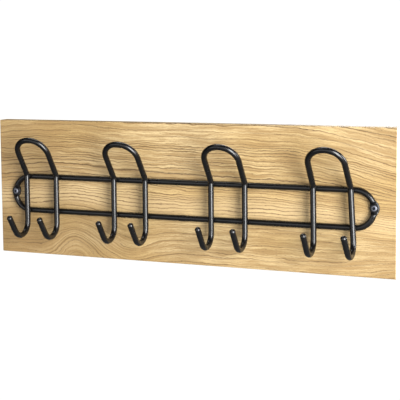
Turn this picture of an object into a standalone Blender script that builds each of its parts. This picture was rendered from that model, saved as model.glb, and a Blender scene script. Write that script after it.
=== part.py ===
"""Wall hook rack: an oak board that carries an oval ring of black wire with four double hooks.

Units are metres. The board's back lies against the wall in the plane y = 0, its front faces -Y,
+X runs along the board and +Z is up. The origin is the middle of the board's back.
"""

from math import asin, cos, pi, radians, sin, tan

import bmesh
import bpy
from mathutils import Matrix, Vector

SEAT = 0.0003  # gap between two pieces that touch

# Oak board
BOARD_LENGTH = 0.600
BOARD_HEIGHT = 0.200
BOARD_THICKNESS = 0.020
BOARD_EDGE_ROUND = 0.001

# Wire ring: two rails with round ends, pressed flat into a screw pad at each end
RING_WIRE = 0.0082
RING_END_MARGIN = 0.0285  # board's end to the centre of the wire at the ring's end
RING_MIDDLE_HEIGHT = -0.0083  # ring's middle, from the board's middle
RAIL_SPACING = 0.0504
PAD_RISE = 0.0022  # pad's middle above the ring's middle
PAD_WIDTH = 0.0138
PAD_THICKNESS = 0.0040
PAD_LENGTH = 0.010
PAD_BLEND = 0.0045  # length over which the round wire turns into the flat pad
PAD_SWELL = 0.010  # pad's middle to where the wire has its own width again

# Pan-head screws that hold the ring
RING_SCREW_SHANK = 0.0040
RING_SCREW_HEAD = 0.0084
RING_SCREW_TOP_FLAT = 0.0046  # width of the flat on top of the rounded head
RING_SCREW_HEAD_HEIGHT = 0.0026
RING_SCREW_POINT = 0.004
RING_SCREW_RECESS = 0.0044
RING_SCREW_WOOD_LEFT = 0.005  # wood between the screw's point and the board's back

# Double hooks, each bent from one wire and welded across both rails
HOOK_STRAY = (0.0, -0.0024, 0.0009, 0.0)  # how far each hook was welded from its even place
LOOP_LEAN = (radians(33.5), radians(36.5), radians(36), radians(36))
LEG_STRAY = ((0, 0), (0, 0), (0, 0), (0.012, 0.055))  # each leg's run to the right, per drop
HOOK_WIRE = 0.0082
HOOK_LEG_SPACING = 0.0494
FIRST_HOOK_INSET = 0.049  # left end of the ring to the first hook's middle
LAST_HOOK_INSET = 0.0562  # last hook's middle to the right end of the ring
HOOK_BEND_RADIUS = 0.019
HOOK_BEND_BELOW_RAIL = 0.0340  # lower rail's centre to the lowest point of the bend
HOOK_MOUTH_ANGLE = radians(35)  # lean of the short arm from upright
HOOK_ARM = 0.0285
KINK_ABOVE_RAIL = 0.0039  # upper rail's centre to the corner where the loop leans out
KINK_RADIUS = 0.009
LOOP_SIDE = 0.040  # from that corner to the start of the round top
TIP_ROUND = 0.0010

# Keyhole plates let into the back
PLATE_INSET = 0.100  # board's end to the plate's middle
PLATE_DROP = 0.045  # board's top edge to the plate's middle
PLATE_LENGTH = 0.050
PLATE_WIDTH = 0.016
PLATE_THICKNESS = 0.0015
PLATE_SINK = 0.0002  # plate's face below the board's back
PLATE_END_TO_SCREW = 0.007
KEYHOLE_ENTRY = 0.0090
KEYHOLE_SLOT = 0.0050
KEYHOLE_RISE = 0.010  # entry's centre to the centre of the slot's round top
KEYHOLE_BELOW_MIDDLE = 0.005
POCKET_MARGIN = 0.0015  # how far the pocket for the wall screw's head reaches past the keyhole
POCKET_DEPTH = 0.010

# Countersunk screws that hold the plates
PLATE_SCREW_SHANK = 0.0028
PLATE_SCREW_HEAD = 0.0056
PLATE_SCREW_LENGTH = 0.012
PLATE_SCREW_POINT = 0.003
PLATE_SCREW_RECESS = 0.0030

RECESS_ARM = 0.26  # width of a cross recess's arm, as a share of the recess
RECESS_TAPER = 0.6  # bottom of a recess, as a share of its mouth
RECESS_DEPTH = 0.0012
CUT_OVERRUN = 0.001  # how far a cutter starts outside the face that it opens

# Fineness of the round shapes
RING_SIDES = 16
RING_END_STEPS = 36
HOOK_SIDES = 12
BEND_STEP = radians(12)
TURNED_SIDES = 24
ARC_STEPS = 12

# Places that follow from the sizes
BOARD_FRONT = -BOARD_THICKNESS
RING_HALF_LENGTH = BOARD_LENGTH / 2 - RING_END_MARGIN
PAD_FACE_Y = BOARD_FRONT - SEAT - PAD_THICKNESS
LEG_AXIS_Y = BOARD_FRONT - SEAT - RING_WIRE - SEAT - HOOK_WIRE / 2
UPPER_RAIL_HEIGHT = RING_MIDDLE_HEIGHT + RAIL_SPACING / 2
LOWER_RAIL_HEIGHT = RING_MIDDLE_HEIGHT - RAIL_SPACING / 2
PAD_ANGLE = asin(PAD_RISE / (RAIL_SPACING / 2))
PAD_X = RING_HALF_LENGTH - RAIL_SPACING / 2 * (1 - cos(PAD_ANGLE))
PLATE_X = BOARD_LENGTH / 2 - PLATE_INSET
PLATE_HEIGHT = BOARD_HEIGHT / 2 - PLATE_DROP
PLATE_SCREW_OFFSET = PLATE_LENGTH / 2 - PLATE_END_TO_SCREW


# Materials


def finish(name, colour, roughness, metallic):
    material = bpy.data.materials.new(name)
    material.use_nodes = True
    shader = material.node_tree.nodes["Principled BSDF"]
    shader.inputs["Base Color"].default_value = (*colour, 1.0)
    shader.inputs["Roughness"].default_value = roughness
    shader.inputs["Metallic"].default_value = metallic
    return material


# Outlines in the XZ plane


def arc(centre, radius, start, end, steps=ARC_STEPS):
    """Points of an arc about (x, z), both ends included."""
    angles = [start + (end - start) * i / steps for i in range(steps + 1)]
    return [(centre[0] + radius * cos(a), centre[1] + radius * sin(a)) for a in angles]


def slot_outline(half_width, top, bottom):
    """An upright slot with round ends, whose end arcs are centred at heights top and bottom."""
    return arc((0, top), half_width, 0, pi) + arc((0, bottom), half_width, pi, 2 * pi)


def keyhole_outline():
    """A round entry about the origin with a narrower slot that rises from it."""
    entry = KEYHOLE_ENTRY / 2
    slot = KEYHOLE_SLOT / 2
    corner = asin(slot / entry)
    round_entry = arc((0, 0), entry, pi / 2 + corner, 5 * pi / 2 - corner, 2 * ARC_STEPS)
    return round_entry + arc((0, KEYHOLE_RISE), slot, 0, pi)


def cross_outline(width):
    """A plus sign of the given width."""
    far = width / 2
    near = far * RECESS_ARM
    quarter = [Vector((far, -near)), Vector((far, near)), Vector((near, near))]
    return [Matrix.Rotation(turn * pi / 2, 2) @ point for turn in range(4) for point in quarter]


# Solids


def add_solid(name, mesh_builder, material=None):
    """Turns a bmesh into a named object; one without a material is a cutter."""
    bmesh.ops.recalc_face_normals(mesh_builder, faces=mesh_builder.faces)
    mesh = bpy.data.meshes.new(name)
    mesh_builder.to_mesh(mesh)
    mesh_builder.free()
    mesh.shade_smooth()
    mesh.set_sharp_from_angle(angle=radians(40))
    solid = bpy.data.objects.new(name, mesh)
    bpy.context.scene.collection.objects.link(solid)
    if material:
        mesh.materials.append(material)
    else:
        solid.hide_render = True
        solid.display_type = "WIRE"
    return solid


def prism(name, outline, near, far, material=None, far_scale=1.0):
    """An outline in (x, z) carried along Y from near to far, where it may have shrunk."""
    builder = bmesh.new()
    front = [builder.verts.new((x, near, z)) for x, z in outline]
    back = [builder.verts.new((x * far_scale, far, z * far_scale)) for x, z in outline]
    builder.faces.new(front)
    builder.faces.new(back[::-1])
    for i, vertex in enumerate(front):
        after = (i + 1) % len(front)
        builder.faces.new((vertex, back[i], back[after], front[after]))
    return add_solid(name, builder, material)


def turned(name, profile, material=None):
    """A solid turned about the Y axis from (y, radius) points, flat or pointed at its ends."""
    builder = bmesh.new()
    rings = []
    for y, radius in profile:
        spots = TURNED_SIDES if radius else 1
        angles = [2 * pi * i / spots for i in range(spots)]
        rings.append([builder.verts.new((radius * cos(a), y, radius * sin(a))) for a in angles])
    join_rings(builder, rings)
    return add_solid(name, builder, material)


def join_rings(builder, rings, closed=False):
    """Skins a row of vertex rings, and caps it at both ends unless it closes on itself."""
    pairs = list(zip(rings, rings[1:]))
    if closed:
        pairs.append((rings[-1], rings[0]))
    for low, high in pairs:
        count = max(len(low), len(high))
        for i in range(count):
            after = (i + 1) % count
            below = [low[i % len(low)], low[after % len(low)]]
            above = [high[after % len(high)], high[i % len(high)]]
            builder.faces.new(dict.fromkeys(below + above))
    if not closed:
        for ring in (rings[0], rings[-1]):
            if len(ring) > 2:
                builder.faces.new(ring)


def cut(solid, cutter):
    """Takes the cutter out of the solid."""
    boolean = solid.modifiers.new("cut " + cutter.name, "BOOLEAN")
    boolean.operation = "DIFFERENCE"
    boolean.solver = "EXACT"
    boolean.object = cutter


def recess(solid, width):
    """A cross recess for the driver, in the head that lies at the solid's origin facing -Y."""
    head_top = min(corner[1] for corner in solid.bound_box)
    cross = cross_outline(width)
    bottom = head_top + RECESS_DEPTH
    cutter = prism(solid.name + "_recess", cross, head_top - CUT_OVERRUN, bottom, far_scale=RECESS_TAPER)
    cutter.parent = solid
    cut(solid, cutter)


# Bent wire


def bent_wire(start, heading, moves):
    """Centre line of a wire that is fed and bent in turn.

    A move is (length, None, 0), straight on, or (radius, axis, angle), a bend about the axis.
    """
    points = [Vector(start)]
    heading = Vector(heading).normalized()
    for size, axis, angle in moves:
        if axis is None:
            points.append(points[-1] + heading * size)
            continue
        turn = 1 if angle > 0 else -1
        centre = points[-1] + Vector(axis).cross(heading) * size * turn
        spoke = points[-1] - centre
        steps = max(2, round(abs(angle) / BEND_STEP))
        for step in range(1, steps + 1):
            points.append(centre + Matrix.Rotation(angle * step / steps, 3, axis) @ spoke)
        heading = Matrix.Rotation(angle, 3, axis) @ heading
    return points


def wire_rings(builder, points, radii, sides):
    """Round cross sections along a centre line, turned no more than the line itself turns."""
    normal = Vector((1, 0, 0))
    rings = []
    for i, point in enumerate(points):
        before = points[max(i - 1, 0)]
        after = points[min(i + 1, len(points) - 1)]
        tangent = (after - before).normalized()
        normal = (normal - tangent * normal.dot(tangent)).normalized()
        other = tangent.cross(normal)
        angles = [2 * pi * k / sides for k in range(sides)]
        spokes = [(normal * cos(a) + other * sin(a)) * radii[i] for a in angles]
        rings.append([builder.verts.new(point + spoke) for spoke in spokes])
    return rings


# Pieces


def make_board(material):
    builder = bmesh.new()
    size = Matrix.Diagonal((BOARD_LENGTH, BOARD_THICKNESS, BOARD_HEIGHT, 1))
    bmesh.ops.create_cube(builder, size=1, matrix=Matrix.Translation((0, BOARD_FRONT / 2, 0)) @ size)
    board = add_solid("board", builder, material)
    rounding = board.modifiers.new("eased edges", "BEVEL")
    rounding.width = BOARD_EDGE_ROUND
    rounding.segments = 2
    return board


def smooth_step(share):
    """Runs smoothly from 0 to 1 as the share does, and stays there beyond."""
    share = min(max(share, 0), 1)
    return share * share * (3 - 2 * share)


def ring_section(angle, middle_x):
    """Cross section of the ring at an angle round its end: round, or flattened near the pad."""
    end_radius = RAIL_SPACING / 2
    from_pad = abs(asin(sin(angle)) - PAD_ANGLE) * end_radius
    flatness = smooth_step((PAD_LENGTH / 2 + PAD_BLEND - from_pad) / PAD_BLEND)
    half_width = (RING_WIRE + (PAD_WIDTH - RING_WIRE) * smooth_step(1 - from_pad / PAD_SWELL)) / 2
    half_thickness = (RING_WIRE + (PAD_THICKNESS - RING_WIRE) * flatness) / 2
    squareness = 1 / (1 + flatness)
    outward = Vector((cos(angle), 0, sin(angle)))
    middle = Vector((middle_x, BOARD_FRONT - SEAT - half_thickness, RING_MIDDLE_HEIGHT))
    middle += outward * end_radius
    section = []
    for k in range(RING_SIDES):
        across = cos(2 * pi * k / RING_SIDES)
        deep = sin(2 * pi * k / RING_SIDES)
        across = abs(across) ** squareness * (1 if across > 0 else -1) * half_width
        deep = abs(deep) ** squareness * (1 if deep > 0 else -1) * half_thickness
        section.append(middle + outward * across + Vector((0, deep, 0)))
    return section


def make_ring(material):
    builder = bmesh.new()
    rings = []
    for side, start in ((1, pi / 2), (-1, -pi / 2)):
        for step in range(RING_END_STEPS + 1):
            angle = start - pi * step / RING_END_STEPS
            section = ring_section(angle, side * (RING_HALF_LENGTH - RAIL_SPACING / 2))
            rings.append([builder.verts.new(point) for point in section])
    join_rings(builder, rings, closed=True)
    return add_solid("wire_ring", builder, material)


def screw_hole(name, place, radius, depth):
    """Cutter for a round hole of the given depth that runs towards +Y from its place."""
    hole = turned(name, [(-CUT_OVERRUN, 0), (-CUT_OVERRUN, radius), (depth, radius), (depth, 0)])
    hole.location = place
    return hole


def make_ring_screw(side, material, ring, board):
    """A pan-head screw through the ring's pad into the board."""
    name = "ring_screw_left" if side < 0 else "ring_screw_right"
    under_head = PAD_FACE_Y - SEAT
    length = BOARD_THICKNESS - RING_SCREW_WOOD_LEFT + BOARD_FRONT - under_head
    head = RING_SCREW_HEAD / 2
    shank = RING_SCREW_SHANK / 2
    height = RING_SCREW_HEAD_HEIGHT
    flat = RING_SCREW_TOP_FLAT / 2
    dome = [(-height * sin(a), flat + (head - flat) * cos(a)) for a in (pi / 2, pi / 3, pi / 6, pi / 18)]
    shaft = [(0, head), (0, shank), (length - RING_SCREW_POINT, shank), (length, 0)]
    screw = turned(name, [(-height, 0), *dome, *shaft], material)
    screw.location = (side * PAD_X, under_head, RING_MIDDLE_HEIGHT + PAD_RISE)
    recess(screw, RING_SCREW_RECESS)
    clearance = shank + SEAT
    cut(ring, screw_hole(name + "_pad_hole", screw.location, clearance, length + SEAT))
    cut(board, screw_hole(name + "_pilot_hole", screw.location, clearance, length + SEAT))
    return screw


def make_hook(number, material):
    """One double hook: short arm, bend, leg, kink, leaning loop, and the same way back."""
    first = -RING_HALF_LENGTH + FIRST_HOOK_INSET
    last = RING_HALF_LENGTH - LAST_HOOK_INSET
    middle_x = first + (last - first) * number / (len(HOOK_STRAY) - 1) + HOOK_STRAY[number]
    across = Vector((1, 0, 0))
    bend_bottom = LOWER_RAIL_HEIGHT - HOOK_BEND_BELOW_RAIL
    bend_centre = (LEG_AXIS_Y - HOOK_BEND_RADIUS, bend_bottom + HOOK_BEND_RADIUS)
    down_arm = Vector((0, sin(HOOK_MOUTH_ANGLE), -cos(HOOK_MOUTH_ANGLE)))
    arm_foot = Vector((middle_x - HOOK_LEG_SPACING / 2, *bend_centre))
    arm_foot -= Vector((0, cos(HOOK_MOUTH_ANGLE), sin(HOOK_MOUTH_ANGLE))) * HOOK_BEND_RADIUS
    lean = LOOP_LEAN[number]
    kink_reach = KINK_RADIUS * tan(lean / 2)
    leg = UPPER_RAIL_HEIGHT + KINK_ABOVE_RAIL - kink_reach - bend_centre[1]
    up_loop = Vector((0, -sin(lean), cos(lean)))
    arm = (HOOK_ARM - TIP_ROUND, None, 0)
    bend = (HOOK_BEND_RADIUS, across, pi - HOOK_MOUTH_ANGLE)
    kink = (KINK_RADIUS, across, lean)
    side = (LOOP_SIDE - kink_reach, None, 0)
    over = (HOOK_LEG_SPACING / 2, up_loop.cross(across), pi)
    rising = [arm, bend, (leg, None, 0), kink, side]
    falling = [(size, axis, -angle) for size, axis, angle in reversed(rising)]
    path = bent_wire(arm_foot - down_arm * arm[0], down_arm, [*rising, over, *falling])
    loop_foot = UPPER_RAIL_HEIGHT + KINK_ABOVE_RAIL + LOOP_SIDE * cos(lean)
    for point in path:
        point.x += LEG_STRAY[number][point.x > middle_x] * max(loop_foot - point.z, 0)

    ahead = [1.0, 0.7]  # how far the rounded end's sections lie ahead of the straight wire
    narrow = [0.55, 0.85]  # and their radii, as a share of the wire's
    start = [path[0] - down_arm * TIP_ROUND * reach for reach in ahead]
    end = [path[-1] - down_arm * TIP_ROUND * reach for reach in reversed(ahead)]
    radii = [HOOK_WIRE / 2 * share for share in [*narrow, *[1] * len(path), *reversed(narrow)]]
    builder = bmesh.new()
    join_rings(builder, wire_rings(builder, [*start, *path, *end], radii, HOOK_SIDES))
    return add_solid(f"double_hook_{number + 1}", builder, material)


def make_hanger(side, plate_material, screw_material, board):
    """A keyhole plate, its two countersunk screws, and what is routed and drilled for them."""
    hand = "left" if side < 0 else "right"
    plate_middle = Vector((side * PLATE_X, -PLATE_SINK, PLATE_HEIGHT))
    half_width = PLATE_WIDTH / 2
    end_centre = PLATE_LENGTH / 2 - half_width
    keyhole_middle = plate_middle - Vector((0, 0, KEYHOLE_BELOW_MIDDLE))

    outline = slot_outline(half_width, end_centre, -end_centre)
    plate = prism("hanger_plate_" + hand, outline, -PLATE_THICKNESS, 0, plate_material)
    plate.location = plate_middle
    keyhole = prism(plate.name + "_keyhole", keyhole_outline(), -PLATE_THICKNESS - CUT_OVERRUN, CUT_OVERRUN)
    keyhole.location = keyhole_middle
    cut(plate, keyhole)

    bed_depth = PLATE_THICKNESS + SEAT
    outline = slot_outline(half_width + SEAT, end_centre, -end_centre)
    bed = prism(plate.name + "_bed", outline, -bed_depth, CUT_OVERRUN)
    bed.location = plate_middle
    cut(board, bed)
    pocket_half = KEYHOLE_ENTRY / 2 + POCKET_MARGIN
    outline = slot_outline(pocket_half, KEYHOLE_RISE, 0)
    pocket = prism(plate.name + "_pocket", outline, -POCKET_DEPTH, CUT_OVERRUN)
    pocket.location = keyhole_middle
    cut(board, pocket)

    head = PLATE_SCREW_HEAD / 2
    shank = PLATE_SCREW_SHANK / 2
    sunk = head - shank
    shaft = [(PLATE_SCREW_LENGTH - PLATE_SCREW_POINT, shank), (PLATE_SCREW_LENGTH, 0)]
    for level, up in (("upper", 1), ("lower", -1)):
        name = f"hanger_screw_{hand}_{level}"
        screw = turned(name, [(0, 0), (0, head), (sunk, shank), *shaft], screw_material)
        screw.location = plate_middle + Vector((0, -SEAT, up * PLATE_SCREW_OFFSET))
        screw.rotation_euler.z = pi
        recess(screw, PLATE_SCREW_RECESS)
        bore = shank + SEAT
        mouth = head + SEAT + CUT_OVERRUN
        bottom = PLATE_SCREW_LENGTH + SEAT
        countersink = [(-CUT_OVERRUN, 0), (-CUT_OVERRUN, mouth), (sunk, bore)]
        hole = turned(name + "_hole", [*countersink, (bottom, bore), (bottom, 0)])
        hole.location = screw.location
        hole.rotation_euler.z = pi
        cut(plate, hole)
        cut(board, hole)


def clear_scene():
    for old in list(bpy.data.objects):
        bpy.data.objects.remove(old, do_unlink=True)


clear_scene()
oak = finish("oak", (0.58, 0.39, 0.19), 0.55, 0.0)
ring_coat = finish("ring_powder_coat", (0.012, 0.012, 0.013), 0.35, 0.0)
hook_coat = finish("hook_powder_coat", (0.012, 0.012, 0.013), 0.32, 0.0)
zinc = finish("zinc_screw", (0.55, 0.56, 0.60), 0.30, 1.0)
plate_steel = finish("plate_steel", (0.60, 0.58, 0.52), 0.35, 1.0)
plate_screw_steel = finish("plate_screw_steel", (0.62, 0.56, 0.40), 0.35, 1.0)

oak_board = make_board(oak)
wire_ring = make_ring(ring_coat)
for hook in range(len(HOOK_STRAY)):
    make_hook(hook, hook_coat)
for hand_side in (-1, 1):
    make_ring_screw(hand_side, zinc, wire_ring, oak_board)
    make_hanger(hand_side, plate_steel, plate_screw_steel, oak_board)
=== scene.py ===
"""Looks of the wall hook rack: an oak board, an oval wire ring, four double hooks and what holds them.

Units are metres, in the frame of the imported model: the board's back lies in the plane y = 0, its
front faces -Y, +X runs along the board and +Z is up.
"""

from math import asin, ceil, cos, pi, radians, sin, tan

import bmesh
import bpy
from mathutils import Matrix, Vector


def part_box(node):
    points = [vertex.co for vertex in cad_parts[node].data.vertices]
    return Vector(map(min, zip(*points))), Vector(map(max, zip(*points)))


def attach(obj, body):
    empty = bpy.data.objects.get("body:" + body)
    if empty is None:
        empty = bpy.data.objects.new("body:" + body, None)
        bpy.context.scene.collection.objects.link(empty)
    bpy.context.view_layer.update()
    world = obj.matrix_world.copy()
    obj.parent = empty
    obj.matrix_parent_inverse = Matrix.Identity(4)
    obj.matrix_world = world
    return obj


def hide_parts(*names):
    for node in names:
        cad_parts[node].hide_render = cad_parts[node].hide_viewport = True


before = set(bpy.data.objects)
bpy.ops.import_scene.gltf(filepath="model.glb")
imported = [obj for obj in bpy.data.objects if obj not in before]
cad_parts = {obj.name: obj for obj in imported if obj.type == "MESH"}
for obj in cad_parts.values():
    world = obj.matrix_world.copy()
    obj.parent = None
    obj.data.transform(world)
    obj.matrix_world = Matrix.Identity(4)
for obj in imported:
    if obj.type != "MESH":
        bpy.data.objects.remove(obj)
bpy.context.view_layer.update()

# Studio
# The rack hangs in a white room above a pale floor. A tall softbox stands to its right and a wide
# white wall in front of it. Weaker ones light its top, its right end and its back.

EYE = Vector((0.5580, -1.3544, 0.2021))
EYE_TURN = radians(21.78)
EYE_DIP = radians(5.0)
EYE_TILT = radians(-0.48)
EYE_LENS = 93.13  # millimetres, on a sensor 36 mm wide
EYE_SHIFT = -0.1484
FLOOR_DEPTH = -1.0
FLOOR_SIZE = 30.0
RACK_MIDDLE = Vector((0.0, -0.02, 0.0))
WHITE_OUT = 1.05  # brightness of the room and the floor as they are seen
ROOM_GLOW = 0.05  # brightness with which the room lights the rack
FLOOR_GREY = 0.16  # share of the light that the floor throws back


def add_node(tree, kind, inputs=None, **settings):
    """Adds a node, sets its settings, and links or sets the inputs named in a dictionary."""
    made = tree.nodes.new(kind)
    for label, value in settings.items():
        setattr(made, label, value)
    for socket, value in (inputs or {}).items():
        if isinstance(value, bpy.types.NodeSocket):
            tree.links.new(value, made.inputs[socket])
        else:
            made.inputs[socket].default_value = value
    return made


def softbox(name, place, width, height, power):
    """A rectangular light that faces the rack."""
    light = bpy.data.lights.new(name, "AREA")
    light.shape = "RECTANGLE"
    light.size, light.size_y = width, height
    light.energy = power
    lamp = bpy.data.objects.new(name, light)
    lamp.location = place
    lamp.rotation_euler = (RACK_MIDDLE - Vector(place)).to_track_quat("-Z", "Y").to_euler()
    bpy.context.scene.collection.objects.link(lamp)


scene = bpy.context.scene
scene.view_settings.view_transform = "Standard"

camera = bpy.data.objects.new("camera", bpy.data.cameras.new("camera"))
camera.data.lens = EYE_LENS
camera.data.shift_y = EYE_SHIFT
turned_head = Matrix.Rotation(EYE_TURN, 4, "Z") @ Matrix.Rotation(pi / 2 - EYE_DIP, 4, "X")
camera.matrix_world = Matrix.Translation(EYE) @ turned_head @ Matrix.Rotation(EYE_TILT, 4, "Z")
scene.collection.objects.link(camera)
scene.camera = camera

softbox("key_softbox", (2.05, -1.75, 0.25), 1.5, 2.4, 215)
softbox("front_wall", (-0.6, -3.4, 0.35), 6.0, 2.4, 58)
softbox("side_softbox", (1.8, 0.50, 0.30), 0.8, 0.8, 31)
softbox("top_softbox", (-0.42, 0.42, 1.9), 1.3, 0.5, 15)
softbox("back_softbox", (0.3, 1.7, 0.8), 1.4, 1.4, 26)

white_room = bpy.data.worlds.new("white_room")
white_room.use_nodes = True
scene.world = white_room
room_tree = white_room.node_tree
room_tree.nodes.clear()
seen = add_node(room_tree, "ShaderNodeBackground", {"Color": (1.0, 1.0, 1.0, 1.0), "Strength": WHITE_OUT})
glow = add_node(room_tree, "ShaderNodeBackground", {"Color": (1.0, 0.99, 0.97, 1.0), "Strength": ROOM_GLOW})
rays = add_node(room_tree, "ShaderNodeLightPath").outputs["Is Camera Ray"]
room_mix = add_node(room_tree, "ShaderNodeMixShader", {0: rays, 1: glow.outputs[0], 2: seen.outputs[0]})
add_node(room_tree, "ShaderNodeOutputWorld", {"Surface": room_mix.outputs[0]})

floor_finish = bpy.data.materials.new("pale_floor")
floor_finish.use_nodes = True
floor_tree = floor_finish.node_tree
floor_tree.nodes.clear()
matt = add_node(floor_tree, "ShaderNodeBsdfDiffuse", {"Color": (FLOOR_GREY, FLOOR_GREY, FLOOR_GREY, 1.0)})
lit = add_node(floor_tree, "ShaderNodeEmission", {"Color": (1.0, 1.0, 1.0, 1.0), "Strength": WHITE_OUT})
rays = add_node(floor_tree, "ShaderNodeLightPath").outputs["Is Camera Ray"]
floor_mix = add_node(floor_tree, "ShaderNodeMixShader", {0: rays, 1: matt.outputs[0], 2: lit.outputs[0]})
add_node(floor_tree, "ShaderNodeOutputMaterial", {"Surface": floor_mix.outputs[0]})
floor_builder = bmesh.new()
bmesh.ops.create_grid(
    floor_builder, x_segments=4, y_segments=4, size=FLOOR_SIZE / 2,
    matrix=Matrix.Translation((0, 0, FLOOR_DEPTH)),
)
floor_mesh = bpy.data.meshes.new("floor")
floor_builder.to_mesh(floor_mesh)
floor_builder.free()
floor_mesh.materials.append(floor_finish)
floor = bpy.data.objects.new("floor", floor_mesh)
scene.collection.objects.link(floor)

# Board
# One plank of oak, sanded and oiled, with its edges eased. Its sawn ends are painted pale: painted
# light standing in for the strong light on the right end. Beds and pockets with round ends are routed
# into its back for the hanger plates, and every screw has its drilled hole.

BOARD_EDGE_ROUND = 0.0010
BOARD_EDGE_STEPS = 4
ROUND_STEPS = 24  # points on a half circle
SEAT = 0.0003  # gap between two pieces that touch
CUT_OVERRUN = 0.001  # how far a cutter passes the surface that it opens
RING_SCREW_PILOT = 0.0046
PLATE_SCREW_PILOT = 0.0034
POCKET_DEPTH = 0.010
POCKET_WIDTH = 0.012
KEYHOLE_RISE = 0.010
KEYHOLE_BELOW_MIDDLE = 0.005
RING_WIDTH = 0.0038  # a year's growth
PITH_DEPTH = 0.10  # the tree's middle, behind the board and below it
PITH_HEIGHT = -0.26
BAND_HEIGHT = -0.016  # a lighter band along the board
BAND_SPREAD = 0.015
PALE_OAK = (0.60, 0.455, 0.24)
HONEY_OAK = (0.455, 0.315, 0.130)
BAND_OAK = (0.60, 0.45, 0.245)
TAN_OAK = (0.27, 0.165, 0.062)
DARK_OAK = (0.07, 0.036, 0.016)
# painted light: the pale colour of both sawn ends, standing in for the strong light on the right end
PAINTED_END_LIGHT = (0.72, 0.64, 0.50)


def arc(centre, radius, start, end, steps=ROUND_STEPS):
    """Points of an arc about (x, z), both ends included."""
    angles = [start + (end - start) * i / steps for i in range(steps + 1)]
    return [(centre[0] + radius * cos(a), centre[1] + radius * sin(a)) for a in angles]


def slot_outline(half_width, top, bottom):
    """An upright slot with round ends, whose end arcs are centred at heights top and bottom."""
    return arc((0, top), half_width, 0, pi) + arc((0, bottom), half_width, pi, 2 * pi)


def join_rings(builder, rings, closed=False):
    """Skins a row of vertex rings, and caps it at both ends unless it closes on itself."""
    pairs = list(zip(rings, rings[1:]))
    if closed:
        pairs.append((rings[-1], rings[0]))
    for low, high in pairs:
        count = max(len(low), len(high))
        for i in range(count):
            after = (i + 1) % count
            below = [low[i % len(low)], low[after % len(low)]]
            above = [high[after % len(high)], high[i % len(high)]]
            builder.faces.new(dict.fromkeys(below + above))
    if not closed:
        for ring in (rings[0], rings[-1]):
            if len(ring) > 2:
                builder.faces.new(ring)


def new_piece(name, builder, finish=None):
    """Turns a bmesh into an object whose faces point outwards."""
    bmesh.ops.recalc_face_normals(builder, faces=builder.faces)
    mesh = bpy.data.meshes.new(name)
    builder.to_mesh(mesh)
    builder.free()
    if finish:
        mesh.materials.append(finish)
    piece = bpy.data.objects.new(name, mesh)
    bpy.context.scene.collection.objects.link(piece)
    return piece


def prism(name, outline, near, far, far_scale=1.0):
    """An outline in (x, z) carried along Y from near to far, where it may have shrunk."""
    builder = bmesh.new()
    front = [builder.verts.new((x, near, z)) for x, z in outline]
    back = [builder.verts.new((x * far_scale, far, z * far_scale)) for x, z in outline]
    join_rings(builder, [front, back])
    return new_piece(name, builder)


def lathe(builder, profile, sides=48):
    """Turns (y, radius) points about the Y axis into the builder."""
    rings = []
    for y, radius in profile:
        spots = sides if radius else 1
        angles = [2 * pi * i / spots for i in range(spots)]
        rings.append([builder.verts.new((radius * cos(a), y, radius * sin(a))) for a in angles])
    join_rings(builder, rings)


def settle(piece):
    """Leaves a piece's final shape as a plain mesh, without its modifiers."""
    bpy.context.view_layer.update()
    graph = bpy.context.evaluated_depsgraph_get()
    shaped = bpy.data.meshes.new_from_object(piece.evaluated_get(graph))
    piece.modifiers.clear()
    piece.data = shaped


def carve(piece, cutters):
    """Takes the cutters out of a piece, and clears them away."""
    for cutter in cutters:
        cut = piece.modifiers.new(cutter.name, "BOOLEAN")
        cut.operation = "DIFFERENCE"
        cut.solver = "EXACT"
        cut.object = cutter
    settle(piece)
    for cutter in cutters:
        bpy.data.objects.remove(cutter, do_unlink=True)


def even_shading(piece, crease=radians(35)):
    """Smooth round parts and flat flats: the large faces decide the normals that they share."""
    piece.data.shade_smooth()
    piece.data.set_sharp_from_angle(angle=crease)
    weigh = piece.modifiers.new("even shading", "WEIGHTED_NORMAL")
    weigh.keep_sharp = True
    settle(piece)


def straight_hole(depth, width):
    """Profile of a plain hole."""
    return [(0, 0), (0, width / 2), (depth, width / 2), (depth, 0)]


def drilled(name, place, profile):
    """Cutter for a hole turned from (y, radius) points, its mouth at the given place."""
    builder = bmesh.new()
    lathe(builder, profile)
    hole = new_piece(name, builder)
    hole.location = place
    return hole


def middle_of(node):
    low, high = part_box(node)
    return (low + high) / 2


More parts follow.
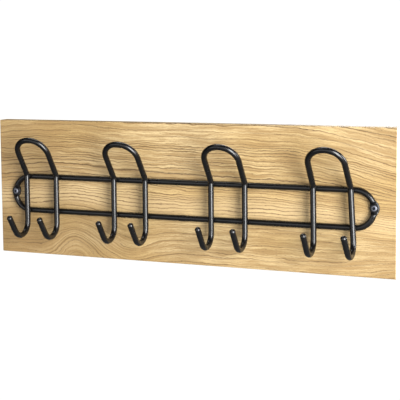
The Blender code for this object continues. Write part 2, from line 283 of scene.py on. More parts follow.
def oak_finish():
    """Oiled oak: yearly rings about a pith behind the board, which sway and swirl along the face, with
    painted light on the sawn ends and a left end darkened partly by painted shade.
    """
    oak = bpy.data.materials.new("oiled_oak")
    oak.use_nodes = True
    tree = oak.node_tree
    shader = tree.nodes["Principled BSDF"]

    def count(operation, *terms):
        return add_node(tree, "ShaderNodeMath", dict(enumerate(terms)), operation=operation).outputs[0]

    def ramp(value, low, high, start=0.0, end=1.0):
        """Runs smoothly from start to end while the value goes from low to high."""
        sockets = {"Value": value, "From Min": low, "From Max": high, "To Min": start, "To Max": end}
        return add_node(tree, "ShaderNodeMapRange", sockets, interpolation_type="SMOOTHSTEP").outputs[0]

    def noise(vector, stretch, detail=2.0):
        """Noise from 0 to 1 whose features are 1 / stretch metres long."""
        stretched = add_node(tree, "ShaderNodeMapping", {"Vector": vector, "Scale": stretch}).outputs[0]
        return add_node(
            tree, "ShaderNodeTexNoise", {"Vector": stretched, "Scale": 1.0, "Detail": detail}
        ).outputs["Fac"]

    def blend(amount, below, above):
        mix = add_node(tree, "ShaderNodeMix", {"Factor": amount}, data_type="RGBA")
        for socket, colour in ((mix.inputs[6], below), (mix.inputs[7], above)):
            if isinstance(colour, bpy.types.NodeSocket):
                tree.links.new(colour, socket)
            else:
                socket.default_value = (*colour, 1.0)
        return mix.outputs[2]

    place = add_node(tree, "ShaderNodeTexCoord").outputs["Object"]
    along, deep, up = add_node(tree, "ShaderNodeSeparateXYZ", {0: place}).outputs

    def hill(middle, reach, height, rise):
        """A smooth hill on the board's face, 1 at its top, with its half widths along X and Z."""
        across = count("DIVIDE", count("SUBTRACT", along, middle), reach)
        upward = count("DIVIDE", count("SUBTRACT", up, height), rise)
        square = count("ADD", count("MULTIPLY", across, across), count("MULTIPLY", upward, upward))
        return count("EXPONENT", count("MULTIPLY", square, -1.0))

    sway = [  # how far each pattern shifts the rings, the pattern, and its middle value
        (0.008, noise(place, (4.0, 9.0, 9.0), 1.0), 0.5),
        (0.008, noise(place, (16.0, 30.0, 34.0), 2.0), 0.5),
        (0.0048, noise(place, (44.0, 80.0, 80.0), 2.0), 0.5),
        (0.0016, noise(place, (130.0, 200.0, 260.0), 2.0), 0.5),
        (-0.008, hill(-0.185, 0.090, 0.045, 0.090), 0.0),
        (-0.034, hill(-0.174, 0.034, -0.086, 0.046), 0.0),
        (0.014, hill(-0.082, 0.034, -0.082, 0.040), 0.0),
        (0.034, hill(0.340, 0.110, 0.050, 0.090), 0.0),
        (-0.014, hill(0.330, 0.080, -0.095, 0.045), 0.0),
    ]
    level = up
    for size, pattern, centre in sway:
        level = count("ADD", level, count("MULTIPLY", count("SUBTRACT", pattern, centre), size))

    rise = count("SUBTRACT", level, PITH_HEIGHT)
    depth = count("SUBTRACT", deep, PITH_DEPTH)
    reach = count("SQRT", count("ADD", count("MULTIPLY", rise, rise), count("MULTIPLY", depth, depth)))
    fibre_place = add_node(tree, "ShaderNodeCombineXYZ", {0: along, 1: reach, 2: deep}).outputs[0]

    uneven = count("MULTIPLY", noise(fibre_place, (0.6, 26.0, 0.0), 1.0), 5.0)
    years = count("ADD", count("DIVIDE", reach, RING_WIDTH), uneven)
    year = count("FRACT", years)
    which = count("FLOOR", years)
    mark = add_node(
        tree, "ShaderNodeTexWhiteNoise", {"W": which}, noise_dimensions="1D"
    ).outputs["Value"]
    fading = ramp(noise(fibre_place, (8.0, 120.0, 60.0), 1.0), 0.32, 0.58, 0.38, 1.0)
    strength = count("MULTIPLY", ramp(mark, 0.08, 0.58), fading)
    strength = count("MULTIPLY", strength, ramp(up, -0.06, 0.02, 0.62, 1.0))
    early = count("MULTIPLY", ramp(year, 0.0, 0.08), ramp(year, 0.16, 0.42, 1.0, 0.0))
    pores = ramp(noise(fibre_place, (320.0, 2600.0, 2600.0), 2.0), 0.50, 0.64)
    bands = noise(fibre_place, (11.0, 230.0, 90.0), 3.0)
    streaks = noise(fibre_place, (22.0, 620.0, 300.0), 3.0)
    fine = noise(fibre_place, (90.0, 2200.0, 900.0), 2.0)
    tone = ramp(noise(place, (5.0, 12.0, 15.0), 2.0), 0.32, 0.68)

    band = count("DIVIDE", count("SUBTRACT", level, BAND_HEIGHT), BAND_SPREAD)
    light_band = count("EXPONENT", count("MULTIPLY", count("MULTIPLY", band, band), -1.0))
    line = count("MULTIPLY", early, strength)
    broken_line = count("MULTIPLY", line, ramp(pores, 0.0, 1.0, 0.78, 1.0))
    open_pores = count("MULTIPLY", pores, ramp(early, 0.0, 1.0, 0.16, 0.6))
    # painted light on the sawn ends and their eased edges
    painted_end_light = ramp(count("ABSOLUTE", along), board_high.x - 0.0008, board_high.x - 0.0001)
    layers = [  # strength, place and colour, each laid over the ones before it
        (0.56, ramp(bands, 0.44, 0.60), TAN_OAK),
        (0.60, ramp(streaks, 0.44, 0.60), TAN_OAK),
        (0.40, ramp(fine, 0.44, 0.64), TAN_OAK),
        (0.22, ramp(year, 0.45, 1.0), TAN_OAK),
        # darker left end: partly the oak's own tone, partly painted shade where the light falls off towards
        # the left
        (0.75, hill(-0.300, 0.130, -0.020, 0.110), TAN_OAK),
        (0.22, hill(0.0, 0.60, -0.110, 0.032), TAN_OAK),
        (0.50, hill(-0.260, 0.080, -0.092, 0.036), TAN_OAK),
        (0.52, hill(0.300, 0.044, -0.078, 0.045), TAN_OAK),
        (0.42, hill(0.300, 0.040, 0.085, 0.045), TAN_OAK),
        (0.45, light_band, BAND_OAK),
        (0.95, broken_line, DARK_OAK),
        (0.75, open_pores, DARK_OAK),
        (0.70, painted_end_light, PAINTED_END_LIGHT),
    ]
    wood = blend(tone, PALE_OAK, HONEY_OAK)
    for amount, where, colour in layers:
        wood = blend(count("MULTIPLY", where, amount), wood, colour)
    tree.links.new(wood, shader.inputs["Base Color"])

    tree.links.new(ramp(open_pores, 0.0, 1.0, 0.46, 0.72), shader.inputs["Roughness"])
    shader.inputs["Specular IOR Level"].default_value = 0.38
    relief = count("SUBTRACT", count("MULTIPLY", streaks, 0.35), count("ADD", open_pores, broken_line))
    bump = add_node(tree, "ShaderNodeBump", {"Height": relief, "Strength": 0.55, "Distance": 0.0003})
    tree.links.new(bump.outputs[0], shader.inputs["Normal"])
    return oak


board_low, board_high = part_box("board")
oiled_oak = oak_finish()
board_builder = bmesh.new()
board_size = Matrix.Diagonal((*(board_high - board_low), 1))
bmesh.ops.create_cube(board_builder, size=1, matrix=Matrix.Translation(middle_of("board")) @ board_size)
bmesh.ops.bevel(
    board_builder, geom=board_builder.edges[:], offset=BOARD_EDGE_ROUND,
    segments=BOARD_EDGE_STEPS, profile=0.5, affect="EDGES",
)
board = new_piece("oak_board", board_builder, oiled_oak)

board_cutters = []
for hand in ("left", "right"):
    screw_axis = middle_of("ring_screw_" + hand)
    screw_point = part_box("ring_screw_" + hand)[1].y
    mouth = (screw_axis.x, board_low.y - CUT_OVERRUN, screw_axis.z)
    pilot = straight_hole(screw_point + SEAT - mouth[1], RING_SCREW_PILOT)
    board_cutters.append(drilled("pilot_" + hand, mouth, pilot))

    plate_low, plate_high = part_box("hanger_plate_" + hand)
    plate_middle = middle_of("hanger_plate_" + hand)
    half_width = (plate_high.x - plate_low.x) / 2
    end_centre = (plate_high.z - plate_low.z) / 2 - half_width
    outline = slot_outline(half_width + SEAT, end_centre, -end_centre)
    bed = prism("bed_" + hand, outline, plate_low.y - SEAT, CUT_OVERRUN)
    bed.location = (plate_middle.x, 0, plate_middle.z)
    outline = slot_outline(POCKET_WIDTH / 2, KEYHOLE_RISE, 0)
    pocket = prism("pocket_" + hand, outline, -POCKET_DEPTH, CUT_OVERRUN)
    pocket.location = (plate_middle.x, 0, plate_middle.z - KEYHOLE_BELOW_MIDDLE)
    board_cutters += [bed, pocket]
    for level_name in ("upper", "lower"):
        screw = f"hanger_screw_{hand}_{level_name}"
        screw_low, screw_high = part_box(screw)
        mouth = (middle_of(screw).x, screw_low.y - SEAT, middle_of(screw).z)
        bore = straight_hole(screw_high.y - screw_low.y + SEAT, PLATE_SCREW_PILOT)
        board_cutters.append(drilled("bore_" + screw, mouth, bore))
carve(board, board_cutters)
even_shading(board)
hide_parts("board")
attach(board, "root")

# Wire ring
# One black powder-coated steel wire, bent into a long oval and butt-welded in the middle of its
# lower rail. Both round ends are pressed flat into a pad, drilled for the screw.

RING_WIRE = 0.0082
PAD_WIDTH = 0.0138
PAD_THICKNESS = 0.0040
PAD_LENGTH = 0.010
PAD_BLEND = 0.0045  # length over which the round wire turns into the flat pad
PAD_SWELL = 0.010  # pad's middle to where the wire has its own width again
PAD_HOLE = 0.0046
RING_SIDES = 40
RING_END_STEPS = 96
WELD_STEPS = 24
WELD_SWELL = 0.0005  # how far the butt weld stands proud of the wire, except towards the board
WELD_LENGTH = 0.016


def powder_coat_finish(name, gloss_low, gloss_high):
    """Black powder coat: slightly glossy, with the fine orange peel of melted powder."""
    coat = bpy.data.materials.new(name)
    coat.use_nodes = True
    tree = coat.node_tree
    shader = tree.nodes["Principled BSDF"]
    place = add_node(tree, "ShaderNodeTexCoord").outputs["Object"]
    peel = add_node(
        tree, "ShaderNodeTexNoise", {"Vector": place, "Scale": 650.0, "Detail": 2.0, "Roughness": 0.45}
    ).outputs["Fac"]
    cloud = add_node(
        tree, "ShaderNodeTexNoise", {"Vector": place, "Scale": 60.0, "Detail": 2.0}
    ).outputs["Fac"]
    sockets = {"Value": cloud, "From Min": 0.3, "From Max": 0.7, "To Min": gloss_low, "To Max": gloss_high}
    dull = add_node(tree, "ShaderNodeMapRange", sockets).outputs[0]
    tree.links.new(dull, shader.inputs["Roughness"])
    shader.inputs["Specular IOR Level"].default_value = 0.50
    black = add_node(tree, "ShaderNodeMix", {"Factor": peel}, data_type="RGBA")
    black.inputs[6].default_value = (0.0010, 0.0010, 0.0011, 1.0)
    black.inputs[7].default_value = (0.0026, 0.0025, 0.0027, 1.0)
    tree.links.new(black.outputs[2], shader.inputs["Base Color"])
    bump = add_node(tree, "ShaderNodeBump", {"Height": peel, "Strength": 0.30, "Distance": 0.00004})
    tree.links.new(bump.outputs[0], shader.inputs["Normal"])
    return coat


def smooth_step(value):
    value = min(max(value, 0), 1)
    return value * value * (3 - 2 * value)


def ring_section(centre, outward, flatness, spread, swelling):
    """Points of the ring's cross section: round, pressed flat at the pads, swollen at the weld.

    Flatness and spread go from 0, round wire, to 1, the pad's thickness and width.
    """
    half_width = (RING_WIRE + (PAD_WIDTH - RING_WIRE) * spread) / 2 + swelling
    half_thickness = (RING_WIRE + (PAD_THICKNESS - RING_WIRE) * flatness) / 2
    squareness = 1 / (1 + flatness)
    middle = Vector((centre.x, ring_back - half_thickness, centre.z))
    points = []
    for k in range(RING_SIDES):
        aside = cos(2 * pi * k / RING_SIDES)
        deep = sin(2 * pi * k / RING_SIDES)
        proud = swelling if deep < 0 else 0
        aside = abs(aside) ** squareness * (1 if aside > 0 else -1) * half_width
        deep = abs(deep) ** squareness * (1 if deep > 0 else -1) * (half_thickness + proud)
        points.append(middle + outward * aside + Vector((0, deep, 0)))
    return points


ring_coat = powder_coat_finish("ring_powder_coat", 0.25, 0.31)
ring_low, ring_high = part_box("wire_ring")
ring_back = ring_high.y
ring_middle_z = (ring_low.z + ring_high.z) / 2
rail_spacing = ring_high.z - ring_low.z - RING_WIRE
end_radius = rail_spacing / 2
pad_rise = middle_of("ring_screw_left").z - ring_middle_z
pad_angle = asin(pad_rise / end_radius)
pad_x = middle_of("ring_screw_right").x
ring_half_length = pad_x + end_radius * (1 - cos(pad_angle))

ring_builder = bmesh.new()
ring_rings = []
for side, start in ((1, pi / 2), (-1, -pi / 2)):
    end_middle = Vector((side * (ring_half_length - end_radius), 0, ring_middle_z))
    for step in range(RING_END_STEPS + 1):
        angle = start - pi * step / RING_END_STEPS
        from_pad = abs(asin(sin(angle)) - pad_angle) * end_radius
        flatness = smooth_step((PAD_LENGTH / 2 + PAD_BLEND - from_pad) / PAD_BLEND)
        spread = smooth_step(1 - from_pad / PAD_SWELL)
        outward = Vector((cos(angle), 0, sin(angle)))
        section = ring_section(end_middle + outward * end_radius, outward, flatness, spread, 0)
        ring_rings.append([ring_builder.verts.new(point) for point in section])
    if side > 0:
        for step in range(WELD_STEPS + 1):
            from_weld = 1 - 2 * step / WELD_STEPS
            swelling = WELD_SWELL * (1 - smooth_step(abs(from_weld)))
            centre = Vector((from_weld * WELD_LENGTH / 2, 0, ring_middle_z - end_radius))
            section = ring_section(centre, Vector((0, 0, -1)), 0, 0, swelling)
            ring_rings.append([ring_builder.verts.new(point) for point in section])
join_rings(ring_builder, ring_rings, closed=True)
ring = new_piece("oval_wire_ring", ring_builder, ring_coat)
pad_holes = []
hole = straight_hole(RING_WIRE + 2 * CUT_OVERRUN, PAD_HOLE)
for side in (-1, 1):
    mouth = (side * pad_x, ring_low.y - CUT_OVERRUN, ring_middle_z + pad_rise)
    pad_holes.append(drilled("pad_hole", mouth, hole))
carve(ring, pad_holes)
ring.data.shade_smooth()
ring.data.set_sharp_from_angle(angle=radians(40))
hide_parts("wire_ring")
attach(ring, "root")

# Double hooks
# Four hooks, each bent from one black powder-coated wire: short arm, round bend, straight leg, kink
# and leaning loop, and the same way back. The cut ends are rounded over.

HOOK_WIRE = 0.0082
HOOK_LEG_SPACING = 0.0494
HOOK_BEND_RADIUS = 0.019
HOOK_MOUTH_ANGLE = radians(35)
HOOK_ARM = 0.0299  # with its end ground round, it reaches as far out as a square-cut 28.5 mm arm
KINK_ABOVE_RAIL = 0.0039
KINK_RADIUS = 0.009
LOOP_LEAN = (radians(33.5), radians(36.5), radians(36), radians(36))  # bent by eye, hook by hook
LEG_STRAY = ((0, 0), (0, 0), (0, 0), (0.012, 0.055))  # each leg's run to the right, as a share of its drop
LOOP_SIDE = 0.040
TIP_ROUND = 0.0026  # length over which a cut end is ground off
# how far along the ground end each ring of points lies, and how wide the wire still is there
TIP_SHAPE = ((0.06, 0.99), (0.16, 0.96), (0.70, 0.64), (0.86, 0.50), (0.96, 0.34), (1.0, 0.16))
BEND_STEP = radians(5)
HOOK_SIDES = 32


def bent_wire(start, heading, moves):
    """Centre line of a wire that is fed and bent in turn.

    A move is (length, None, 0), straight on, or (radius, axis, angle), a bend about the axis.
    """
    points = [Vector(start)]
    heading = Vector(heading).normalized()
    for size, axis, angle in moves:
        if axis is None:
            points.append(points[-1] + heading * size)
            continue
        centre = points[-1] + Vector(axis).cross(heading) * size * (1 if angle > 0 else -1)
        spoke = points[-1] - centre
        steps = ceil(abs(angle) / BEND_STEP)
        for step in range(1, steps + 1):
            points.append(centre + Matrix.Rotation(angle * step / steps, 3, axis) @ spoke)
        heading = Matrix.Rotation(angle, 3, axis) @ heading
    return points


def cut_end(foot, way):
    """Points and widths of a wire's cut end, ground round from its foot on."""
    return [(foot + way * TIP_ROUND * ahead, HOOK_WIRE * width) for ahead, width in TIP_SHAPE]


def new_tree(name, sockets):
    """A Geometry Nodes tree with named inputs, and its input and output nodes."""
    tree = bpy.data.node_groups.new(name, "GeometryNodeTree")
    for label, kind in [("Geometry", "NodeSocketGeometry"), *sockets]:
        tree.interface.new_socket(label, in_out="INPUT", socket_type=kind)
    tree.interface.new_socket("Geometry", in_out="OUTPUT", socket_type="NodeSocketGeometry")
    return tree, add_node(tree, "NodeGroupInput"), add_node(tree, "NodeGroupOutput")


def grown(name, mesh, tree, settings):
    """A plain mesh object, made by running a Geometry Nodes tree on a mesh."""
    piece = bpy.data.objects.new(name, mesh)
    bpy.context.scene.collection.objects.link(piece)
    growth = piece.modifiers.new(tree.name, "NODES")
    growth.node_group = tree
    for label, value in settings.items():
        growth[tree.interface.items_tree[label].identifier] = value
    settle(piece)
    return piece


def wire_tree():
    """Sweeps a round wire along a line of edges, as thick as each point's thickness says."""
    sockets = [("Sides", "NodeSocketInt"), ("Finish", "NodeSocketMaterial")]
    tree, given, result = new_tree("bent_round_wire", sockets)
    line = add_node(tree, "GeometryNodeMeshToCurve", {"Mesh": given.outputs["Geometry"]})
    thickness = add_node(tree, "GeometryNodeInputNamedAttribute", {"Name": "thickness"}, data_type="FLOAT")
    section = add_node(
        tree, "GeometryNodeCurvePrimitiveCircle", {"Resolution": given.outputs["Sides"], "Radius": 0.5}
    )
    swept = add_node(
        tree, "GeometryNodeCurveToMesh",
        {
            "Curve": line.outputs[0], "Profile Curve": section.outputs["Curve"],
            "Scale": thickness.outputs["Attribute"], "Fill Caps": True,
        },
    )
    plain = add_node(tree, "GeometryNodeRealizeInstances", {"Geometry": swept.outputs[0]})
    coated = add_node(
        tree, "GeometryNodeSetMaterial", {"Geometry": plain.outputs[0], "Material": given.outputs["Finish"]}
    )
    tree.links.new(coated.outputs[0], result.inputs[0])
    return tree


hook_coat = powder_coat_finish("hook_powder_coat", 0.23, 0.29)
bent_round_wire = wire_tree()
lower_rail = ring_low.z + RING_WIRE / 2
upper_rail = ring_high.z - RING_WIRE / 2
leg_axis_y = ring_back - RING_WIRE - SEAT - HOOK_WIRE / 2
HOOK_NODES = ["double_hook_1", "double_hook_2", "double_hook_3", "double_hook_4"]
across = Vector((1, 0, 0))
down_arm = Vector((0, sin(HOOK_MOUTH_ANGLE), -cos(HOOK_MOUTH_ANGLE)))
crossings = []  # where a leg touches a rail
for number, node_name in enumerate(HOOK_NODES, start=1):
    hook_low, hook_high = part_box(node_name)
    lean = LOOP_LEAN[number - 1]
    strays = LEG_STRAY[number - 1]
    up_loop = Vector((0, -sin(lean), cos(lean)))
    kink_reach = KINK_RADIUS * tan(lean / 2)
    middle_x = hook_low.x + (HOOK_LEG_SPACING + HOOK_WIRE) / 2
    bend_centre = (leg_axis_y - HOOK_BEND_RADIUS, hook_low.z + HOOK_WIRE / 2 + HOOK_BEND_RADIUS)
    arm_foot = Vector((middle_x - HOOK_LEG_SPACING / 2, *bend_centre))
    arm_foot -= Vector((0, cos(HOOK_MOUTH_ANGLE), sin(HOOK_MOUTH_ANGLE))) * HOOK_BEND_RADIUS
    leg = upper_rail + KINK_ABOVE_RAIL - kink_reach - bend_centre[1]
    rising = [
        (HOOK_ARM - TIP_ROUND, None, 0),
        (HOOK_BEND_RADIUS, across, pi - HOOK_MOUTH_ANGLE),
        (leg, None, 0),
        (KINK_RADIUS, across, lean),
        (LOOP_SIDE - kink_reach, None, 0),
    ]
    over = (HOOK_LEG_SPACING / 2, up_loop.cross(across), pi)
    falling = [(size, axis, -angle) for size, axis, angle in reversed(rising)]
    path = bent_wire(arm_foot - down_arm * rising[0][0], down_arm, [*rising, over, *falling])
    loop_foot = upper_rail + KINK_ABOVE_RAIL + LOOP_SIDE * cos(lean)
    for point in path:
        point.x += strays[point.x > middle_x] * max(loop_foot - point.z, 0)
    for side, stray in zip((-1, 1), strays):
        for rail in (lower_rail, upper_rail):
            leg_x = middle_x + side * HOOK_LEG_SPACING / 2 + stray * (loop_foot - rail)
            crossings.append((leg_x, ring_back - RING_WIRE - SEAT / 2, rail))

    stations = [*reversed(cut_end(path[0], -down_arm)), *[(point, HOOK_WIRE) for point in path]]
    stations += cut_end(path[-1], -down_arm)
    wire_line = bpy.data.meshes.new(f"hook_line_{number}")
    links = [(i, i + 1) for i in range(len(stations) - 1)]
    wire_line.from_pydata([point for point, width in stations], links, [])
    thickness = wire_line.attributes.new("thickness", "FLOAT", "POINT")
    thickness.data.foreach_set("value", [width for point, width in stations])
    settings = {"Sides": HOOK_SIDES, "Finish": hook_coat}
    hook = grown(f"bent_hook_{number}", wire_line, bent_round_wire, settings)
    hook.data.shade_smooth()
    hook.data.set_sharp_from_angle(angle=radians(50))
    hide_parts(node_name)
    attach(hook, "root")

# Weld beads
# Each leg is welded to both rails before the powder coat, which leaves a small coated bead in the
# notch where the two wires cross.

BEAD_REACH = 0.0029
BEAD_HALF_THICKNESS = 0.0014


def placing_tree():
    """Sets a copy of a piece at every point, each turned about Y by chance."""
    sockets = [
        ("Piece", "NodeSocketObject"), ("Finish", "NodeSocketMaterial"), ("Seed", "NodeSocketInt"),
        ("Smallest", "NodeSocketFloat"), ("Largest", "NodeSocketFloat"),
    ]
    tree, given, result = new_tree("pieces_at_points", sockets)
    shape = add_node(tree, "GeometryNodeObjectInfo", {"Object": given.outputs["Piece"]})
    turn = add_node(
        tree, "FunctionNodeRandomValue", {0: (0, 0, 0), 1: (0, 2 * pi, 0), "Seed": given.outputs["Seed"]},
        data_type="FLOAT_VECTOR",
    )
    size = add_node(tree, "FunctionNodeRandomValue", {"Seed": given.outputs["Seed"]}, data_type="FLOAT")
    tree.links.new(given.outputs["Smallest"], size.inputs[2])
    tree.links.new(given.outputs["Largest"], size.inputs[3])
    set_out = add_node(
        tree, "GeometryNodeInstanceOnPoints",
        {
            "Points": given.outputs["Geometry"], "Instance": shape.outputs["Geometry"],
            "Rotation": turn.outputs[0], "Scale": size.outputs[1],
        },
    )
    plain = add_node(tree, "GeometryNodeRealizeInstances", {"Geometry": set_out.outputs[0]})
    coated = add_node(
        tree, "GeometryNodeSetMaterial", {"Geometry": plain.outputs[0], "Material": given.outputs["Finish"]}
    )
    tree.links.new(coated.outputs[0], result.inputs[0])
    return tree


def set_at(name, pattern, points, finish, seed, smallest=1.0, largest=1.0):
    """One plain mesh of copies of a pattern piece, which is cleared away."""
    spots = bpy.data.meshes.new(name + "_spots")
    spots.from_pydata(points, [], [])
    settings = {"Piece": pattern, "Finish": finish, "Seed": seed, "Smallest": smallest, "Largest": largest}
    pieces = grown(name, spots, pieces_at_points, settings)
    bpy.data.objects.remove(pattern, do_unlink=True)
    return pieces


pieces_at_points = placing_tree()
bead_builder = bmesh.new()
bmesh.ops.create_icosphere(bead_builder, subdivisions=4, radius=1.0)
for vertex in bead_builder.verts:
    x, y, z = vertex.co
    lumps = 1 + 0.05 * sin(5 * x + 1) * cos(4 * z) + 0.03 * sin(9 * z + 4 * x)
    vertex.co = Vector((x * BEAD_REACH, y * BEAD_HALF_THICKNESS, z * BEAD_REACH)) * lumps
bead = new_piece("bead", bead_builder)
bead.data.shade_smooth()
beads = set_at("weld_beads", bead, crossings, hook_coat, 7, 0.93, 1.06)
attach(beads, "root")

# Ring screws
# Two zinc-plated pan-head wood screws with a cross recess, one through each pad into the board.

RING_SCREW_SHANK = 0.0040
RING_SCREW_CORE = 0.0028
RING_SCREW_PITCH = 0.0018
RING_SCREW_HEAD = 0.0084
RING_SCREW_HEAD_HEIGHT = 0.0026
RING_SCREW_POINT = 0.004
RING_THREAD_START = 0.0028  # below the head
RING_SCREW_RECESS = 0.0047
HEAD_RIM = 0.0007  # height of the head's edge, below its dome
HEAD_CROWN = 0.55  # radius at which the dome would turn flat, as a share of the head's
DOME_STEPS = 10
DOME_SWEEP = radians(80)
RECESS_ARM = 0.46  # an arm's width, as a share of the recess
RECESS_TAPER = 0.62
RECESS_DEPTH = 0.0021
RECESS_SHADE_CORE = 0.34  # radius within which the painted shade in the recess is darkest, as a share of its width
RECESS_SHADE_REACH = 0.52  # radius at which the painted shade fades into the head's own colour
THREAD_STEPS = 20  # for each turn
THREAD_HALF_WIDTH = 0.22  # of the pitch
THREAD_ROOT = 0.94  # of the core, so that the thread sits in it
THREAD_BARE_TIP = 0.0002
SCREW_SCRATCHES = (900.0, 900.0, 900.0)  # per metre


def metal_finish(name, low_colour, high_colour, low_rough, high_rough, stretch):
    """Plated steel: a faint cloud in its colour, and fine scratches that change its gloss."""
    metal = bpy.data.materials.new(name)
    metal.use_nodes = True
    tree = metal.node_tree
    shader = tree.nodes["Principled BSDF"]
    shader.inputs["Metallic"].default_value = 1.0
    place = add_node(tree, "ShaderNodeTexCoord").outputs["Object"]
    cloud = add_node(
        tree, "ShaderNodeTexNoise", {"Vector": place, "Scale": 280.0, "Detail": 3.0}
    ).outputs["Fac"]
    stretched = add_node(tree, "ShaderNodeMapping", {"Vector": place, "Scale": stretch}).outputs[0]
    scratches = add_node(
        tree, "ShaderNodeTexNoise", {"Vector": stretched, "Scale": 1.0, "Detail": 4.0}
    ).outputs["Fac"]
    plating = add_node(tree, "ShaderNodeMix", {"Factor": cloud}, data_type="RGBA")
    plating.inputs[6].default_value = (*low_colour, 1.0)
    plating.inputs[7].default_value = (*high_colour, 1.0)
    tree.links.new(plating.outputs[2], shader.inputs["Base Color"])
    sockets = {
        "Value": scratches, "From Min": 0.3, "From Max": 0.7, "To Min": low_rough, "To Max": high_rough,
    }
    tree.links.new(add_node(tree, "ShaderNodeMapRange", sockets).outputs[0], shader.inputs["Roughness"])
    bump = add_node(tree, "ShaderNodeBump", {"Height": scratches, "Strength": 0.2, "Distance": 0.00004})
    tree.links.new(bump.outputs[0], shader.inputs["Normal"])
    return metal


def paint_shade_in_recess(metal, beside, height, width, colour):
    """Darkens the middle of two heads, one on each side of x = 0, with painted shade where the recess lies in
    shadow.
    """
    tree = metal.node_tree
    finish = tree.nodes["Principled BSDF"].inputs["Base Color"]
    place = add_node(tree, "ShaderNodeTexCoord").outputs["Object"]
    folded = add_node(tree, "ShaderNodeVectorMath", {0: place}, operation="ABSOLUTE").outputs[0]
    sockets = {"Vector": folded, "Location": (-beside, 0.0, -abs(height)), "Scale": (1.0, 0.0, 1.0)}
    centred = add_node(tree, "ShaderNodeMapping", sockets).outputs[0]
    radius = add_node(tree, "ShaderNodeVectorMath", {0: centred}, operation="LENGTH").outputs["Value"]
    sockets = {
        "Value": radius, "From Min": width * RECESS_SHADE_CORE, "From Max": width * RECESS_SHADE_REACH,
        "To Min": 0.9, "To Max": 0.0,
    }
    painted_shade = add_node(tree, "ShaderNodeMapRange", sockets, interpolation_type="SMOOTHSTEP").outputs[0]
    shaded = add_node(tree, "ShaderNodeMix", {"Factor": painted_shade}, data_type="RGBA")
    tree.links.new(finish.links[0].from_socket, shaded.inputs[6])
    shaded.inputs[7].default_value = (*colour, 1.0)
    tree.links.new(shaded.outputs[2], finish)


def thread_screw(screw, start, end, core, crest, pitch, point):
    """Winds a thread along +Y from start to end, which runs out over the point, and shades the screw."""
    builder = bmesh.new()
    builder.from_mesh(screw.data)
    turns = (end - start) / pitch
    steps = ceil(turns * THREAD_STEPS)
    half = pitch * THREAD_HALF_WIDTH
    rings = []
    for step in range(steps + 1):
        y = start + (end - start) * step / steps
        fade = smooth_step(min((y - start) / pitch, (end - y) / point))
        root = core * smooth_step((end - y) / point + 0.35) if end - y < point else core
        angle = 2 * pi * turns * step / steps
        spoke = Vector((cos(angle), 0, sin(angle)))
        inner = root * THREAD_ROOT
        corners = [(inner, y - half), (root + (crest - core) * fade, y), (inner, y + half)]
        rings.append([builder.verts.new(spoke * radius + Vector((0, depth, 0))) for radius, depth in corners])
    join_rings(builder, rings)
    bmesh.ops.recalc_face_normals(builder, faces=builder.faces)
    builder.to_mesh(screw.data)
    builder.free()
    screw.data.shade_smooth()
    screw.data.set_sharp_from_angle(angle=radians(32))


def cross_outline(width):
    """A plus sign of the given width, its inner corners cut across."""
    far = width / 2
    near = far * RECESS_ARM
    arm_end = [(far * 0.96, -near * 0.8), (far, 0), (far * 0.96, near * 0.8)]
    quarter = [*arm_end, (near * 1.6, near), (near, near * 1.6)]
    return [Matrix.Rotation(turn * pi / 2, 2) @ Vector(point) for turn in range(4) for point in quarter]


def cut_recess(screw, head_top, width):
    """Sinks the cross recess for the driver into the head, from its top towards +Y."""
    bottom = head_top + RECESS_DEPTH
    carve(screw, [prism("cross", cross_outline(width), head_top - CUT_OVERRUN, bottom, RECESS_TAPER)])


zinc = metal_finish(
    "zinc_plated_screw", (0.15, 0.16, 0.19), (0.25, 0.26, 0.30), 0.50, 0.62, SCREW_SCRATCHES
)
# painted shade: a dark blue-grey in the middle of each ring screw's head, where the recess lies in shadow
paint_shade_in_recess(zinc, pad_x, ring_middle_z + pad_rise, RING_SCREW_RECESS, (0.020, 0.024, 0.034))
screw_low, screw_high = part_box("ring_screw_left")
under_head = screw_low.y + RING_SCREW_HEAD_HEIGHT
ring_screw_length = screw_high.y - under_head
head_radius = RING_SCREW_HEAD / 2
core_radius = RING_SCREW_CORE / 2
dome = []
for step in range(DOME_STEPS + 1):
    angle = DOME_SWEEP * step / DOME_STEPS
    height = HEAD_RIM + (RING_SCREW_HEAD_HEIGHT - HEAD_RIM) * sin(angle)
    dome.append((-height, head_radius * (HEAD_CROWN + (1 - HEAD_CROWN) * cos(angle))))
head = [(-RING_SCREW_HEAD_HEIGHT, 0), *reversed(dome), (-HEAD_RIM / 3, head_radius), (0, head_radius * 0.985)]
neck = [(0, core_radius * 1.25), (0.002, core_radius * 1.1), (0.0025, core_radius)]
shank = [(ring_screw_length - RING_SCREW_POINT, core_radius), (ring_screw_length, 0)]
screw_builder = bmesh.new()
lathe(screw_builder, [*head, *neck, *shank])
screw_pattern = new_piece("ring_screw_pattern", screw_builder)
cut_recess(screw_pattern, -RING_SCREW_HEAD_HEIGHT, RING_SCREW_RECESS)
thread_screw(
    screw_pattern, RING_THREAD_START, ring_screw_length - THREAD_BARE_TIP,
    core_radius, RING_SCREW_SHANK / 2, RING_SCREW_PITCH, RING_SCREW_POINT,
)
screw_axes = [middle_of("ring_screw_" + hand) for hand in ("left", "right")]
screw_places = [(axis.x, under_head, axis.z) for axis in screw_axes]
ring_screws = set_at("ring_screws", screw_pattern, screw_places, zinc, 3)
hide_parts("ring_screw_left", "ring_screw_right")
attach(ring_screws, "root")

# Hanger plates
# Two keyhole plates stamped from zinc-plated sheet steel and let into the back, so that the rack
# hangs on two wall screws and lies flat on the wall.

KEYHOLE_ENTRY = 0.0090
KEYHOLE_SLOT = 0.0050
STAMPED_EDGE = 0.00022
COUNTERSINK_MOUTH = 0.0062
COUNTERSINK_BORE = 0.0034
COUNTERSINK_DEPTH = 0.0015
ROLLING_SCRATCHES = (1500.0, 400.0, 60.0)  # per metre, long in Z where the sheet was rolled


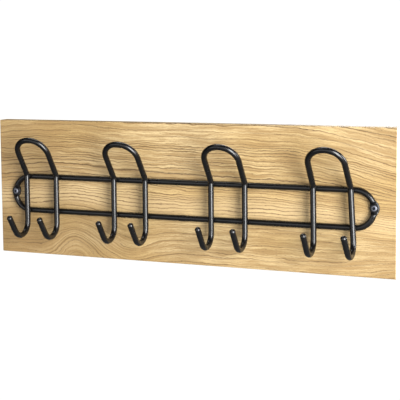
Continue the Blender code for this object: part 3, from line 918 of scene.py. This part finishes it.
def keyhole_outline():
    """A round entry about the origin with a narrower slot that rises from it."""
    entry = KEYHOLE_ENTRY / 2
    slot = KEYHOLE_SLOT / 2
    corner = asin(slot / entry)
    round_entry = arc((0, 0), entry, pi / 2 + corner, 5 * pi / 2 - corner, 2 * ROUND_STEPS)
    return round_entry + arc((0, KEYHOLE_RISE), slot, 0, pi)


plate_steel = metal_finish(
    "plated_sheet_steel", (0.54, 0.53, 0.49), (0.68, 0.67, 0.63), 0.28, 0.48, ROLLING_SCRATCHES
)
for hand in ("left", "right"):
    plate_low, plate_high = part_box("hanger_plate_" + hand)
    plate_middle = middle_of("hanger_plate_" + hand)
    half_width = (plate_high.x - plate_low.x) / 2
    end_centre = (plate_high.z - plate_low.z) / 2 - half_width
    outline = slot_outline(half_width, end_centre, -end_centre)
    plate = prism("keyhole_plate_" + hand, outline, plate_low.y, plate_high.y)
    plate.data.transform(Matrix.Translation((plate_middle.x, 0, plate_middle.z)))
    keyhole = prism("keyhole", keyhole_outline(), plate_low.y - CUT_OVERRUN, CUT_OVERRUN)
    keyhole.location = (plate_middle.x, 0, plate_middle.z - KEYHOLE_BELOW_MIDDLE)
    cutters = [keyhole]
    for level_name in ("upper", "lower"):
        screw_middle = middle_of(f"hanger_screw_{hand}_{level_name}")
        sink = [
            (plate_low.y - CUT_OVERRUN, 0), (plate_low.y - CUT_OVERRUN, COUNTERSINK_BORE / 2),
            (plate_high.y - COUNTERSINK_DEPTH, COUNTERSINK_BORE / 2), (plate_high.y, COUNTERSINK_MOUTH / 2),
            (CUT_OVERRUN, COUNTERSINK_MOUTH / 2 + CUT_OVERRUN), (CUT_OVERRUN, 0),
        ]
        cutters.append(drilled("sink", (screw_middle.x, 0, screw_middle.z), sink))
    carve(plate, cutters)
    plate.data.materials.clear()
    plate.data.materials.append(plate_steel)
    stamped = plate.modifiers.new("stamped edges", "BEVEL")
    stamped.width = STAMPED_EDGE
    stamped.segments = 3
    stamped.limit_method = "ANGLE"
    stamped.angle_limit = radians(50)
    settle(plate)
    even_shading(plate)
    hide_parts("hanger_plate_" + hand)
    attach(plate, "root")

# Plate screws
# Four small countersunk wood screws, yellow zinc plated, two through each hanger plate.

PLATE_SCREW_SHANK = 0.0028
PLATE_SCREW_CORE = 0.0020
PLATE_SCREW_PITCH = 0.0012
PLATE_SCREW_HEAD = 0.0056
PLATE_SCREW_POINT = 0.003
PLATE_THREAD_START = 0.001  # below the head's cone
PLATE_SCREW_RECESS = 0.0030

yellow_zinc = metal_finish(
    "yellow_zinc_screw", (0.58, 0.50, 0.30), (0.72, 0.64, 0.44), 0.26, 0.42, SCREW_SCRATCHES
)
screw_low, screw_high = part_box("hanger_screw_left_upper")
screw_length = screw_high.y - screw_low.y
rim = PLATE_SCREW_HEAD / 2
neck = PLATE_SCREW_CORE / 2
sunk = rim - PLATE_SCREW_SHANK / 2
screw_builder = bmesh.new()
lathe(screw_builder, [
    (0, 0), (0, rim * 0.97), (0.0002, rim), (sunk, PLATE_SCREW_SHANK / 2), (sunk + 0.0008, neck),
    (screw_length - PLATE_SCREW_POINT, neck), (screw_length, 0),
])
screw_pattern = new_piece("plate_screw_pattern", screw_builder)
cut_recess(screw_pattern, 0, PLATE_SCREW_RECESS)
thread_screw(
    screw_pattern, sunk + PLATE_THREAD_START, screw_length - THREAD_BARE_TIP,
    neck, PLATE_SCREW_SHANK / 2, PLATE_SCREW_PITCH, PLATE_SCREW_POINT,
)
screw_pattern.data.transform(Matrix.Rotation(pi, 4, "Z"))
PLATE_SCREW_NODES = [f"hanger_screw_{hand}_{end}" for hand in ("left", "right") for end in ("upper", "lower")]
screw_axes = [middle_of(node_name) for node_name in PLATE_SCREW_NODES]
screw_places = [(axis.x, screw_high.y, axis.z) for axis in screw_axes]
plate_screws = set_at("plate_screws", screw_pattern, screw_places, yellow_zinc, 11)
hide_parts(*PLATE_SCREW_NODES)
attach(plate_screws, "root")
